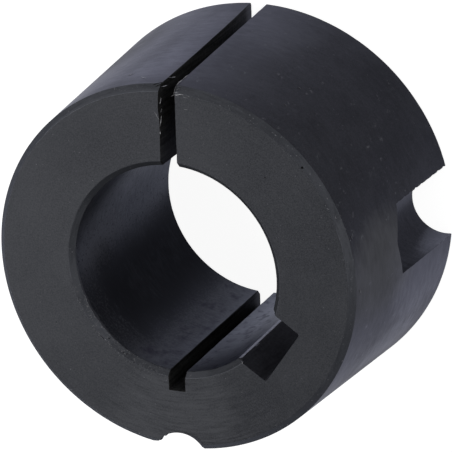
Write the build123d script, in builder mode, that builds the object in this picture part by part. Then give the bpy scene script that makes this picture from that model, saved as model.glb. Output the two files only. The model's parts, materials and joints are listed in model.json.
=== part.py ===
from build123d import *

import os
from math import radians, tan

# Split taper bush: a turned cast-iron sleeve with a straight keyed bore and a tapered outside.
# Screws push it into a matching tapered hub, which closes the split and grips the shaft.
#
# Frame: millimetres, the bore's axis on Z, z = 0 on the large end face that the bush stands on,
# and the small end face at the top. The split faces +Y. Angles are anticlockwise from +X, seen
# from the small end.

# --- turned form
large_end_diameter = 38.4     # outside diameter of the taper at the large end face
sleeve_length = 22.2          # from end face to end face
taper_per_side = 4.0          # degrees between the outside and the axis
bore_diameter = 20.0          # shaft size
bore_chamfer = 0.5            # break at both mouths of the bore
small_end_chamfer = 0.55      # lead at the small end, which enters the hub first
large_end_chamfer = 0.15      # edge break at the large end

# --- half-round screw seats, drilled on the joint line of bush and hub
screw_circle_inset = 0.6      # from the large end's edge in to the screws' centres
pocket_diameter = 6.8         # plain blind half hole that clears a 1/4 inch grub screw
pocket_depth = 11.4           # from the large end face to the floor's rim
pocket_point_angle = 140.0    # the drill's point, which leaves a shallow cone as the floor
pocket_count = 2              # evenly spaced
pocket_angle = 4.6            # first pocket, a little nearer the split than square to it
jack_hole_diameter = 5.2      # tapping size of the 1/4 inch jacking thread
jack_hole_angle = 270.0       # opposite the split

# --- keyway for the shaft's key
keyway_width = 6.0
keyway_depth = 2.8            # from the bore's radius out to the floor, on the keyway's middle
keyway_root_radius = 0.25
keyway_angle = -34.2

# --- sawn cuts that let the sleeve close on the shaft
saw_width = 1.6               # one blade cuts the split and the relief slot
split_angle = 90.0
relief_slot_depth = 1.8       # into the wall from the bore, opposite the split

# --- places that follow from the sizes
large_end_radius = large_end_diameter / 2
small_end_radius = large_end_radius - sleeve_length * tan(radians(taper_per_side))
bore_radius = bore_diameter / 2
screw_circle_radius = large_end_radius - screw_circle_inset
pocket_radius = pocket_diameter / 2
pocket_point_height = pocket_radius / tan(radians(pocket_point_angle / 2))
keyway_floor = bore_radius + keyway_depth
relief_slot_floor = bore_radius + relief_slot_depth
relief_slot_angle = split_angle + 180.0
on_its_base = (Align.CENTER, Align.CENTER, Align.MIN)


def ring_edge(part, end, place):
    """Circular edge of an end face: end 0 is the large end and -1 the small end,
    and place 0 is the bore's mouth and -1 the outer rim."""
    circles = part.edges().filter_by(GeomType.CIRCLE).group_by(Axis.Z)[end]
    return circles.sort_by(SortBy.RADIUS)[place]


with BuildPart() as bush:
    # Turned sleeve: the wall's section, spun about the bore's axis
    with BuildSketch(Plane.XZ) as wall_section:
        with BuildLine():
            Polyline(
                (bore_radius, 0),
                (large_end_radius, 0),
                (small_end_radius, sleeve_length),
                (bore_radius, sleeve_length),
                close=True,
            )
        make_face()
    revolve(axis=Axis.Z)

    # Edge breaks, turned before anything is cut
    chamfer(ring_edge(bush, 0, -1), large_end_chamfer)
    chamfer(ring_edge(bush, -1, -1), small_end_chamfer)
    chamfer([ring_edge(bush, end, 0) for end in (0, -1)], bore_chamfer)

    # Blind half-round pockets: the locking screws press on their floors
    with BuildSketch() as pocket_outline:
        with PolarLocations(screw_circle_radius, pocket_count, start_angle=pocket_angle):
            Circle(pocket_radius)
    extrude(amount=pocket_depth, mode=Mode.SUBTRACT)
    with Locations((0, 0, pocket_depth)):
        with PolarLocations(screw_circle_radius, pocket_count, start_angle=pocket_angle):
            Cone(pocket_radius, 0, pocket_point_height, align=on_its_base, mode=Mode.SUBTRACT)

    # Jacking half hole, drilled right through: it leaves a shallow notch in the small end,
    # because the taper falls away from it
    with BuildSketch() as jack_hole_outline:
        with PolarLocations(screw_circle_radius, 1, start_angle=jack_hole_angle):
            Circle(jack_hole_diameter / 2)
    extrude(amount=sleeve_length, mode=Mode.SUBTRACT)

    # Keyway, broached through from the bore, with its root corners rounded
    with BuildSketch() as keyway_outline:
        with PolarLocations(0, 1, start_angle=keyway_angle):
            Rectangle(keyway_floor, keyway_width, align=(Align.MIN, Align.CENTER))
        root_corners = keyway_outline.vertices().sort_by_distance((0, 0))[-2:]
        fillet(root_corners, keyway_root_radius)
    extrude(amount=sleeve_length, mode=Mode.SUBTRACT)

    # Split through the whole wall
    with BuildSketch() as split_outline:
        with PolarLocations(0, 1, start_angle=split_angle):
            Rectangle(large_end_diameter, saw_width, align=(Align.MIN, Align.CENTER))
    extrude(amount=sleeve_length, mode=Mode.SUBTRACT)

    # Relief slot, part way into the wall, where the sleeve bends as it closes
    with BuildSketch() as relief_slot_outline:
        with PolarLocations(0, 1, start_angle=relief_slot_angle):
            Rectangle(relief_slot_floor, saw_width, align=(Align.MIN, Align.CENTER))
    extrude(amount=sleeve_length, mode=Mode.SUBTRACT)

bush.part.label = "bush"
os.makedirs("parts", exist_ok=True)
export_step(bush.part, "parts/bush.step")
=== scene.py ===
"""Looks of a split taper bush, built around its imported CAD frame.

The bush is one piece of iron: a turned sleeve with a straight bore and a tapered outside, cut by
a keyway, a sawn split, a relief slot, two blind half-round pockets and a tapped half-round hole.
The sleeve and each cutting tool's path are surfaces worked out with numpy. The sleeve is cut by
the tools as the real one is, so each machined surface keeps its own finish.

Lengths are in millimetres up to the moment a mesh is made, and in metres in Blender. The frame
is the CAD frame: the bore's axis on Z, the large end face at z = 0, the split facing +Y.
"""

import sys
import json
import logging
import math
from dataclasses import dataclass, field, replace
from enum import Enum, IntEnum
from typing import Any, NamedTuple, Sequence

import bmesh
import bpy
import numpy as np
from mathutils import Matrix, Vector


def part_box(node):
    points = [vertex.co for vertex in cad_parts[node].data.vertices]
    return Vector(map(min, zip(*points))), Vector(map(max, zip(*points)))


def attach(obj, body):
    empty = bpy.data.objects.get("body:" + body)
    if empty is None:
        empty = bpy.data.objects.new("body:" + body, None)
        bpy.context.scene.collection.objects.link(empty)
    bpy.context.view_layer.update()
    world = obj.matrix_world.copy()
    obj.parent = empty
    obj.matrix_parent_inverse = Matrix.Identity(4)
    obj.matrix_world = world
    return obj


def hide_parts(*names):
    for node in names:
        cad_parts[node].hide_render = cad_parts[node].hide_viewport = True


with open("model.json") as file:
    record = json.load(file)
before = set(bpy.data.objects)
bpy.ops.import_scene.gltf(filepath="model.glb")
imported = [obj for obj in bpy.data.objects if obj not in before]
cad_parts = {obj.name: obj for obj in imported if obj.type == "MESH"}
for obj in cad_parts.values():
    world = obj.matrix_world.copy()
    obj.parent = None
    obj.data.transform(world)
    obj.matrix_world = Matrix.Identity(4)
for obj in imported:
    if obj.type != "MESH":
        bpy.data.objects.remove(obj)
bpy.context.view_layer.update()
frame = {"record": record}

MM = 0.001
LOG = logging.getLogger("taper_bush")

Point = tuple[float, float, float]
Colour = tuple[float, float, float]


# ---------------------------------------------------------------- numbers shared by the shapes


class Finish(IntEnum):
    """The machined surfaces of the bush, in the order of its material slots."""

    TAPER = 0
    FACE = 1
    CHAMFER = 2
    BORE = 3
    SAWN = 4
    BROACHED = 5
    DRILLED = 6
    TAPPED = 7
    BARE = 8


def smooth_step(value: np.ndarray) -> np.ndarray:
    """Cubic ease from 0 to 1, flat outside that span."""
    t = np.clip(value, 0.0, 1.0)
    return t * t * (3.0 - 2.0 * t)


def value_noise(x: np.ndarray, y: np.ndarray, seed: int) -> np.ndarray:
    """Smooth noise in -1..1: random heights on a unit lattice, eased between its corners.

    Args:
        x: First coordinate, in lattice steps.
        y: Second coordinate, in lattice steps.
        seed: Seed of the lattice heights.

    Returns:
        An array shaped as x and y broadcast together.
    """
    size = 256
    heights = np.random.default_rng(seed).uniform(-1.0, 1.0, (size, size))
    x, y = np.broadcast_arrays(x, y)
    column = np.floor(x).astype(int)
    row = np.floor(y).astype(int)
    across = smooth_step(x - column)
    along = smooth_step(y - row)

    def corner(i: int, j: int) -> np.ndarray:
        """Lattice height at the cell's corner (i, j)."""
        return heights[(row + j) % size, (column + i) % size]

    low = corner(0, 0) * (1.0 - across) + corner(1, 0) * across
    high = corner(0, 1) * (1.0 - across) + corner(1, 1) * across
    return low * (1.0 - along) + high * along


def layered_noise(x: np.ndarray, y: np.ndarray, seed: int) -> np.ndarray:
    """Mean of three value noises, each at half the pitch and half the height of the last."""
    heights = (1.0, 0.5, 0.25)
    layers = (value_noise(x / h, y / h, seed + layer) * h for layer, h in enumerate(heights))
    return sum(layers) / sum(heights)


def edge_steps(overrun: float) -> np.ndarray:
    """Distances in from an edge, close together beside it, from an overrun outside the metal."""
    return np.array([-overrun, -0.1, 0.0, 0.03, 0.06, 0.1, 0.16, 0.3, 0.5, 0.7])


@dataclass
class Draft:
    """A mesh being put together from grids, in millimetres."""

    points: list[np.ndarray] = field(default_factory=list)
    faces: list[np.ndarray] = field(default_factory=list)
    slots: list[np.ndarray] = field(default_factory=list)
    total: int = 0

    def grid(self, sheet: np.ndarray, slots: np.ndarray | int, wrap_rows: bool = False) -> np.ndarray:
        """Adds a grid of quads whose last column joins its first.

        Args:
            sheet: Points, shaped rows by columns by 3.
            slots: Material slot of each quad, or what broadcasts to it.
            wrap_rows: Whether the last row joins the first too.

        Returns:
            The index of each point, shaped rows by columns.
        """
        rows, columns = sheet.shape[:2]
        index = np.arange(rows * columns).reshape(rows, columns) + self.total
        ring = np.pad(index, ((0, int(wrap_rows)), (0, 1)), mode="wrap")
        quads = np.stack([ring[:-1, :-1], ring[:-1, 1:], ring[1:, 1:], ring[1:, :-1]], axis=-1)
        self.points.append(sheet.reshape(-1, 3))
        self.faces.append(quads.reshape(-1, 4))
        self.slots.append(np.broadcast_to(slots, quads.shape[:2]).ravel())
        self.total += rows * columns
        return index

    def lid(self, loop: np.ndarray, slot: int) -> None:
        """Closes a loop of points with triangles to its middle, in the loop's own order."""
        self.points.append(np.concatenate(self.points)[loop].mean(axis=0, keepdims=True))
        self.faces.append(np.stack([np.full_like(loop, self.total), loop, np.roll(loop, -1)], axis=-1))
        self.slots.append(np.full_like(loop, slot))
        self.total += 1

    def tube(self, sheet: np.ndarray, slots: np.ndarray | int, end_slot: int) -> None:
        """Adds a grid and closes it with a lid at its first and its last row."""
        index = self.grid(sheet, slots)
        self.lid(index[0][::-1], end_slot)
        self.lid(index[-1], end_slot)

    def add(self, other: "Draft") -> None:
        """Adds another draft's points and faces to this one."""
        self.faces.extend(block + self.total for block in other.faces)
        self.points.extend(other.points)
        self.slots.extend(other.slots)
        self.total += other.total

    def build(self, name: str, materials: Sequence[bpy.types.Material]) -> bpy.types.Object:
        """Makes the Blender object, in metres.

        Args:
            name: Its name.
            materials: Its materials, in slot order.

        Returns:
            The object, at the origin.
        """
        mesh = bpy.data.meshes.new(name)
        faces = [face for block in self.faces for face in block.tolist()]
        mesh.from_pydata((np.concatenate(self.points) * MM).tolist(), [], faces)
        mesh.polygons.foreach_set("material_index", np.concatenate(self.slots).astype(np.int32))
        mesh.update()
        for material in materials:
            mesh.materials.append(material)
        body = bpy.data.objects.new(name, mesh)
        bpy.context.scene.collection.objects.link(body)
        return body


def finish_mesh(body: bpy.types.Object, sharp: float, merge: float = 0.0) -> None:
    """Cleans a piece's mesh, shades it smooth and logs it.

    Args:
        body: The piece.
        sharp: Angle over which an edge stays sharp, in degrees.
        merge: Distance within which points are merged, in millimetres, or 0 to leave the
            points and turn the faces outwards.
    """
    made = bmesh.new()
    made.from_mesh(body.data)
    if merge:
        bmesh.ops.remove_doubles(made, verts=made.verts, dist=merge * MM)
        bmesh.ops.dissolve_degenerate(made, dist=merge / 2 * MM, edges=made.edges)
    else:
        bmesh.ops.recalc_face_normals(made, faces=made.faces)
    open_edges = sum(1 for edge in made.edges if len(edge.link_faces) != 2)
    volume = made.calc_volume(signed=True) / MM**3
    triangles = len(made.calc_loop_triangles())
    made.to_mesh(body.data)
    made.free()
    body.data.polygons.foreach_set("use_smooth", np.ones(len(body.data.polygons), dtype=bool))
    body.data.set_sharp_from_angle(angle=math.radians(sharp))
    LOG.info("%s: %d triangles, %d open edges, %.2f mm3", body.name, triangles, open_edges, volume)


# ---------------------------------------------------------------- the sleeve and the cuts in it


@dataclass(frozen=True)
class Section:
    """The turned section of the sleeve: a convex outline of radius against height.

    Args:
        length: Distance between the end faces.
        bore: Radius of the bore.
        large_end: Radius of the taper, carried on to the large end face.
        taper: Angle between the taper and the axis, in degrees.
        bore_chamfer: Break at both mouths of the bore.
        small_chamfer: Lead at the small end.
        large_chamfer: Break at the large end.
    """

    length: float
    bore: float
    large_end: float
    taper: float = 4.0
    bore_chamfer: float = 0.5
    small_chamfer: float = 0.55
    large_chamfer: float = 0.15

    def outside(self, height: np.ndarray | float) -> np.ndarray | float:
        """Radius of the taper at a height: it falls by the taper's tangent."""
        return self.large_end - math.tan(math.radians(self.taper)) * height

    def corners(self) -> np.ndarray:
        """Corners of the outline as (radius, height), anticlockwise from the large end's bore."""
        lean, rise = math.sin(math.radians(self.taper)), math.cos(math.radians(self.taper))
        small_end = self.outside(self.length)
        large, small, mouth = self.large_chamfer, self.small_chamfer, self.bore_chamfer
        return np.array(
            [
                (self.bore + mouth, 0.0),
                (self.large_end - large, 0.0),
                (self.large_end - large * lean, large * rise),
                (small_end + small * lean, self.length - small * rise),
                (small_end - small, self.length),
                (self.bore + mouth, self.length),
                (self.bore, self.length - mouth),
                (self.bore, mouth),
            ]
        )

    def sides(self) -> tuple[np.ndarray, np.ndarray]:
        """Direction and length of the side that starts at each corner."""
        corners = self.corners()
        ahead = np.roll(corners, -1, axis=0) - corners
        spans = np.linalg.norm(ahead, axis=1)
        return ahead / spans[:, None], spans

    def depth(self, points: np.ndarray) -> np.ndarray:
        """Depth of points in the metal: the least distance in from the outline's sides.

        Args:
            points: Points, with x, y and z in the last axis.

        Returns:
            The depth of each point, below zero outside the metal.
        """
        radius = np.hypot(points[..., 0], points[..., 1])
        depths = [
            side[0] * (points[..., 2] - corner[1]) - side[1] * (radius - corner[0])
            for corner, side in zip(self.corners(), self.sides()[0])
        ]
        return np.min(depths, axis=0)


# Finish of each side of the section's outline, from the large end face on anticlockwise.
SIDE_FINISHES = (
    Finish.FACE, Finish.CHAMFER, Finish.TAPER, Finish.CHAMFER,
    Finish.FACE, Finish.CHAMFER, Finish.BORE, Finish.CHAMFER,
)


class Dents(NamedTuple):
    """Hollows in the sleeve's edges, from a noise of the angle and the height.

    Args:
        per_radian: Noise cells in a radian round the axis.
        per_mm: Noise cells in a millimetre of height.
        start: Where the noise starts.
        level: Level that the noise has to pass.
        seed: Seed of the noise.
    """

    per_radian: float
    per_mm: float
    start: float
    level: float
    seed: int

    def depth(self, angle: np.ndarray, height: np.ndarray) -> np.ndarray:
        """How far the noise is over its level, and 0 where it is under it."""
        noise = layered_noise(angle * self.per_radian, height * self.per_mm + self.start, self.seed)
        return np.maximum(noise - self.level, 0.0)


@dataclass
class Sleeve:
    """The turned ring, before anything is cut in it.

    Args:
        section: Its section.
        columns: Number of stations round the axis.
        edge_radius: Radius of its edges.
        arc_steps: Number of steps across an edge.
        arc_end_wear: Wear where an edge's arc ends, as a share of the wear on the arc.
        nick_depth: Depth of the wear.
        nicks: Broad hollows.
        dents: Fine hollows.
        nick_share: How much more the broad ones count.
        worst_at: Direction from +X in which the small end's bore edge is worn most.
        worst_wide: Half the width of that stretch, in degrees.
        worst_by: How much more it is worn there.
        end_steps: Stations near an end of a side.
        short: Length under which a side has three even stations.
        long: Length over which it has even stations between those near its ends.
        even_from: Distance from the ends at which they start.
        even_pitch: Their pitch.
    """

    section: Section
    columns: int = 384
    edge_radius: float = 0.05
    arc_steps: int = 3
    arc_end_wear: float = 0.35
    nick_depth: float = 0.05
    nicks: Dents = Dents(18.0, 0.9, 40.0, 0.28, 11)
    dents: Dents = Dents(72.0, 2.1, 7.0, 0.35, 23)
    nick_share: float = 1.3
    worst_at: float = 222.0
    worst_wide: float = 30.0
    worst_by: float = 3.0
    end_steps: tuple[float, ...] = (0.04, 0.12, 0.26)
    short: float = 0.6
    long: float = 1.2
    even_from: float = 0.5
    even_pitch: float = 0.9

    def outline(self) -> tuple[np.ndarray, ...]:
        """Stations round the outline: each corner is a small arc, with close stations beside it.

        Returns:
            The points, the finish from each one to the next, the inward direction at each
            one, and how far each one is worn, 1 on an arc and 0 on a side.
        """
        ahead, spans = self.section.sides()
        behind = np.roll(ahead, 1, axis=0)
        turns = np.arccos(np.clip((behind * ahead).sum(axis=1), -1.0, 1.0))
        reaches = self.edge_radius * np.tan(turns / 2)
        lengths = spans - reaches - np.roll(reaches, -1)
        share = np.linspace(0.0, 1.0, self.arc_steps + 1)
        wear = np.array([self.arc_end_wear, *[1.0] * (self.arc_steps - 1), self.arc_end_wear])
        parts = []
        for i, corner in enumerate(self.section.corners()):
            before, after = behind[i], ahead[i]
            centre = corner - before * reaches[i] + np.array([-before[1], before[0]]) * self.edge_radius
            heading = math.atan2(before[1], before[0]) - math.pi / 2 + share * turns[i]
            arc = centre + self.edge_radius * np.column_stack([np.cos(heading), np.sin(heading)])
            middle = (centre - corner) / np.linalg.norm(centre - corner)
            along = self.side_stations(lengths[i])
            count = len(along)
            parts.append(
                (
                    np.concatenate([arc, arc[-1] + after * along[:, None]]),
                    np.repeat([Finish.CHAMFER, SIDE_FINISHES[i]], [self.arc_steps, count + 1]),
                    np.repeat([middle, (-after[1], after[0])], [self.arc_steps + 1, count], axis=0),
                    np.concatenate([wear, np.zeros(count)]),
                )
            )
        return tuple(np.concatenate(group) for group in zip(*parts))

    def side_stations(self, length: float) -> np.ndarray:
        """Distances along a side of the outline, close together near its two ends."""
        if length < self.short:
            return np.linspace(0.0, length, 5)[1:-1]
        near = np.array(self.end_steps)
        count = int(length / self.even_pitch) + 1 if length > self.long else 0
        middle = np.linspace(self.even_from, length - self.even_from, count)
        return np.concatenate([near, middle, length - near[::-1]])

    def draft(self) -> Draft:
        """Carries the outline round the axis, with its corners knocked in by nicks.

        The wear at the bore's edge of the small end grows round its worst direction by a bell
        curve of the angle from it.
        """
        outline, finishes, inward, worn = self.outline()
        radius, height = outline[:, :1], outline[:, 1:]
        angle = np.linspace(0.0, 2 * math.pi, self.columns, endpoint=False)
        knock = self.nicks.depth(angle, height) * self.nick_share + self.dents.depth(angle, height)
        knock = knock * self.nick_depth * worn[:, None]
        at_mouth = (height > self.section.length - 0.2) & (radius < self.section.bore + 1.0)
        from_worst = (np.degrees(angle) - self.worst_at) / self.worst_wide
        knock = knock * np.where(at_mouth, 1.0 + self.worst_by * np.exp(-(from_worst**2)), 1.0)
        section = outline[:, None, :] + inward[:, None, :] * knock[:, :, None]
        out, z = section[..., 0], section[..., 1]
        turned = np.stack([out * np.cos(angle), out * np.sin(angle), z], axis=-1)
        made = Draft()
        made.grid(turned, finishes[:, None], wrap_rows=True)
        return made


@dataclass
class Cut:
    """One tool's path: a closed sheet of stations along Z round a line out from the axis.

    In a cut's own axes, x runs out from the bush's axis, and y and z are square to it. The
    sheet spreads where it leaves the metal, which breaks the edge it cuts.

    Args:
        section: Section of the sleeve being cut.
        angle: Direction of the cut from +X, in degrees.
        finish: Finish of the walls.
        edge_break: Width of the break along the edges.
        mouth_break: Width of the break along the bore's edges.
        edge_bare: Share of the broken edges that is bare iron.
        mouth_bare: The same share along the bore's edges.
        seed: Seed of its marks and of its wear.
    """

    section: Section
    angle: float
    finish: Finish
    edge_break: float = 0.05
    mouth_break: float = 0.05
    edge_bare: float = 0.2
    mouth_bare: float = 0.2
    seed: int = 1

    def spread(self, sheet: np.ndarray, away: np.ndarray) -> tuple[np.ndarray, np.ndarray]:
        """Moves the sheet outwards by the shortfall of its depth from the edge break.

        The break's width wavers with a noise, and a second noise picks its bare stretches.

        Args:
            sheet: Points in the cut's own axes.
            away: Unit directions out of the cut.

        Returns:
            The moved points, and the finish of each quad of the wrapped sheet.
        """
        x, y, z = (sheet[..., i] for i in range(3))
        to_face = np.minimum(z, self.section.length - z)
        at_mouth = np.hypot(x, y) - self.section.bore < to_face
        wobble = 0.9 + 0.25 * value_noise(x * 1.7 + 31.0, z * 1.3, self.seed + 90)
        width = np.where(at_mouth, self.mouth_break, self.edge_break) * wobble
        depth = self.section.depth(sheet)
        moved = sheet + away * np.clip(width - depth, 0.0, width * 2.5)[..., None]
        shallow = depth < width * 0.98
        pairs = shallow | np.roll(shallow, -1, axis=1)
        share = np.where(at_mouth, self.mouth_bare, self.edge_bare)
        bare = (value_noise(x * 2.9 + y, z * 2.1 + 11.0, self.seed + 70) < share * 2.0 - 1.0)[:-1]
        return moved, np.where(pairs[:-1] & pairs[1:] & bare, Finish.BARE, self.finish)

    def closed(self, sheet: np.ndarray, slots: np.ndarray) -> Draft:
        """Turns the sheet from the cut's own axes to the bush's, and closes its two ends."""
        turn = math.radians(self.angle)
        cosine, sine = math.cos(turn), math.sin(turn)
        x, y, z = (sheet[..., i] for i in range(3))
        turned = np.stack([x * cosine - y * sine, x * sine + y * cosine, z], axis=-1)
        made = Draft()
        made.tube(turned, slots, self.finish)
        return made


@dataclass
class Slot(Cut):
    """A parallel cut along the whole bush: a U in plan, with its back inside the bore.

    Args:
        left: Distance from the middle line to the wall on +y.
        right: Distance from the middle line to the wall on -y.
        floor: Radius of the floor, or None for a slot that runs right through the wall.
        root_radius: Radius where the walls meet the floor.
        bow: How much deeper the floor is half way along.
        mark_depth: Height of the tool's marks on the walls.
        mark_pitch: Pitch of those marks.
        mark_lean: Angle of those marks from Z, in degrees.
        mark_length: Length of those marks, in pitches.
        back: Distance of the slot's back from the axis, in the bore.
        past: How far a slot through the wall runs on outside it.
        drift: How far the slot moves towards +y from the small end to the large end.
        pinch: How far the left wall comes in at the outside of the small end.
        belly: How far it comes in at the outside, half way along.
        row_step: Pitch of the sheet's rows.
    """

    left: float = 1.0
    right: float = 1.0
    floor: float | None = None
    root_radius: float = 0.1
    bow: float = 0.0
    mark_depth: float = 0.0
    mark_pitch: float = 0.3
    mark_lean: float = 8.0
    mark_length: float = 16.0
    back: float = 5.0
    past: float = 2.5
    drift: float = 0.0
    pinch: float = 0.0
    belly: float = 0.0
    row_step: float = 0.28

    def heights(self) -> np.ndarray:
        """Heights of the sheet's rows: even, and crowded near both end faces."""
        steps = edge_steps(0.4)
        top = self.section.length - steps[::-1]
        count = max(1, int((self.section.length - 2 * steps[-1]) / self.row_step))
        return np.concatenate([steps, np.linspace(steps[-1], top[0], count + 2)[1:-1], top])

    def wall_radii(self, heights: np.ndarray) -> np.ndarray:
        """Stations out along a wall for each height, crowded at the bore and at the outside."""
        steps = edge_steps(0.35)
        start = math.sqrt(self.section.bore**2 - max(self.left, self.right) ** 2) + steps
        if self.floor is None:
            outer = self.section.outside(heights)[:, None]
            share = np.linspace(0.0, 1.0, 48)[1:-1]
            middle = start[-1] + share * (outer - steps[-1] - start[-1])
            parts = [start, middle, outer - steps[::-1], outer + self.past]
        else:
            count = 10 if self.mark_depth == 0 else 16
            parts = [start, np.linspace(start[-1], self.floor - self.root_radius, count)[1:]]
        return np.concatenate([np.broadcast_to(p, (len(heights), p.shape[-1])) for p in parts], axis=1)

    def marks(self, out: np.ndarray, heights: np.ndarray, seed: int) -> np.ndarray:
        """Tool marks: noise across the marks' lean, drawn out along it."""
        lean = math.radians(self.mark_lean)
        across = (out * math.cos(lean) + heights * math.sin(lean)) / self.mark_pitch
        along = (heights * math.cos(lean) - out * math.sin(lean)) / (self.mark_pitch * self.mark_length)
        return layered_noise(across, along, seed) * self.mark_depth

    def bottom(self, rise: np.ndarray) -> tuple[np.ndarray, ...]:
        """The floor: a quarter circle at each wall, with the flat between them.

        Args:
            rise: Height of each row as a share of the length. The floor is deeper by the bow
                times a parabola of it that is 1 half way along.

        Returns:
            The columns' x and y, and the x and y of their directions out of the cut.
        """
        rim = self.root_radius
        turn = np.linspace(-math.pi / 2, math.pi / 2, 15)[1:-1]
        centre = np.where(turn < 0, rim - self.right, self.left - rim)
        centre[len(turn) // 2] = (self.left - self.right) / 2
        bow = self.bow * (1.0 - (2.0 * rise - 1.0) ** 2)
        out = self.floor - rim + rim * np.cos(turn) + bow
        return out, centre + rim * np.sin(turn), np.cos(turn), np.sin(turn)

    def draft(self) -> Draft:
        """Carries the U along Z: out one wall, round the floor and back in along the other.

        Both walls move by the drift times the fall from the small end as a share of the length.
        The left one comes in by the pinch times the height and the way out, each as a share,
        and by the belly times the way out and a parabola that is 1 half way along.
        """
        rows = self.heights()[:, None]
        out = self.wall_radii(rows[:, 0])
        z = np.broadcast_to(rows, out.shape)
        rise = z / self.section.length
        wall = self.section.large_end - self.section.bore
        way_out = np.clip((out - self.section.bore) / wall, 0.0, 1.0)
        moved = self.drift * (1.0 - rise)
        inwards = (self.pinch * rise + self.belly * 4.0 * rise * (1.0 - rise)) * way_out
        right = -self.right + moved + self.marks(out, z, self.seed)
        left = self.left + moved - inwards + self.marks(out, z, self.seed + 50)
        parts = [(self.back, -self.right, 0.0, 0.0), (out, right, 0.0, -1.0)]
        if self.floor is not None:
            parts.append(self.bottom(rise[:, :1]))
        parts.extend([(out[:, ::-1], left[:, ::-1], 0.0, 1.0), (self.back, self.left, 0.0, 0.0)])
        columns = [np.broadcast_arrays(rows, *part) for part in parts]
        z, x, y, away_x, away_y = (np.concatenate(group, axis=1) for group in zip(*columns))
        away = np.stack([away_x, away_y, 0.0 * z], axis=-1)
        return self.closed(*self.spread(np.stack([x, y, z], axis=-1), away))


@dataclass
class Pocket(Cut):
    """A blind half hole drilled up from the large end, half in the bush and half in the hub.

    Args:
        centre: Distance of the hole's centre from the axis.
        radius: Radius of the hole.
        rim: Height of the floor's rim.
        point: Full angle of the drill's point, in degrees.
        tap_pitch: Pitch of the marks that the tap leaves on one edge.
        tap_depth: Depth of those marks.
        tap_at: Direction round the hole in which those marks are deepest, in degrees.
        tap_wide: Half the width of the marked stretch, in degrees.
        chatter_depth: Height of the drill's own marks.
    """

    centre: float = 18.6
    radius: float = 3.4
    rim: float = 11.4
    point: float = 140.0
    tap_pitch: float = 1.27
    tap_depth: float = 0.1
    tap_at: float = 92.0
    tap_wide: float = 13.0
    chatter_depth: float = 0.012

    @staticmethod
    def turns() -> np.ndarray:
        """Stations round the hole in radians, crowded where its wall meets the taper."""
        edge, deep = 78.0, 106.0
        outer = np.radians(np.linspace(-edge, edge, 12))[1:-1]
        left_edge = np.radians(np.arange(edge, deep, 0.7))
        inner = np.radians(np.linspace(deep, 360.0 - deep, 50))
        return np.concatenate([outer, left_edge, inner, 2 * math.pi - left_edge[::-1]])

    def tap_marks(self, turns: np.ndarray, z: np.ndarray) -> np.ndarray:
        """The tap's grooves: triangles along Z that climb round the hole.

        They fade by a bell curve of the angle from their deepest side, and by a patchy noise.

        Args:
            turns: Stations round the hole, in radians.
            z: Height of each point.

        Returns:
            The depth of the grooves at each point.
        """
        off = np.degrees(turns) - self.tap_at
        phase = z / self.tap_pitch - off / 360.0
        groove = np.maximum(0.0, 1.0 - np.abs((phase % 1.0) - 0.5) * 4.0)
        patchy = np.clip(0.6 + value_noise(z * 0.5 + 9.0, turns * 0.0, self.seed), 0.0, 1.0)
        fade = np.exp(-((off / self.tap_wide) ** 2)) * patchy * (z < self.rim - 0.5)
        return groove * fade * self.tap_depth

    def draft(self) -> Draft:
        """Circle of the drill along Z, then its point: a cone closed on the middle line."""
        turns = self.turns()
        even = np.arange(0.83, self.rim - 0.02, self.tap_pitch / 10)
        wall = np.concatenate([edge_steps(0.6), even, [self.rim]])
        shares = np.concatenate([0.0 * wall, [0.03, 0.1, 0.2, 0.35, 0.5, 0.65, 0.8, 0.93]])[:, None]
        rise = self.radius / math.tan(math.radians(self.point / 2))
        radii = self.radius * (1.0 - shares)
        heights = np.append(wall, np.full(8, self.rim))[:, None] + rise * shares
        z = np.broadcast_to(heights, (len(heights), len(turns)))
        sheet = np.stack([self.centre + radii * np.cos(turns), radii * np.sin(turns), z], axis=-1)
        away = np.stack([np.cos(turns) + 0 * z, np.sin(turns) + 0 * z, 0 * z], axis=-1)
        chatter = layered_noise(turns * 2.5, z * 1.6, self.seed + 3) * self.chatter_depth
        marks = self.tap_marks(turns, z) + chatter * (z < self.rim - 0.2)
        return self.closed(*self.spread(sheet + away * marks[..., None], away))


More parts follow.
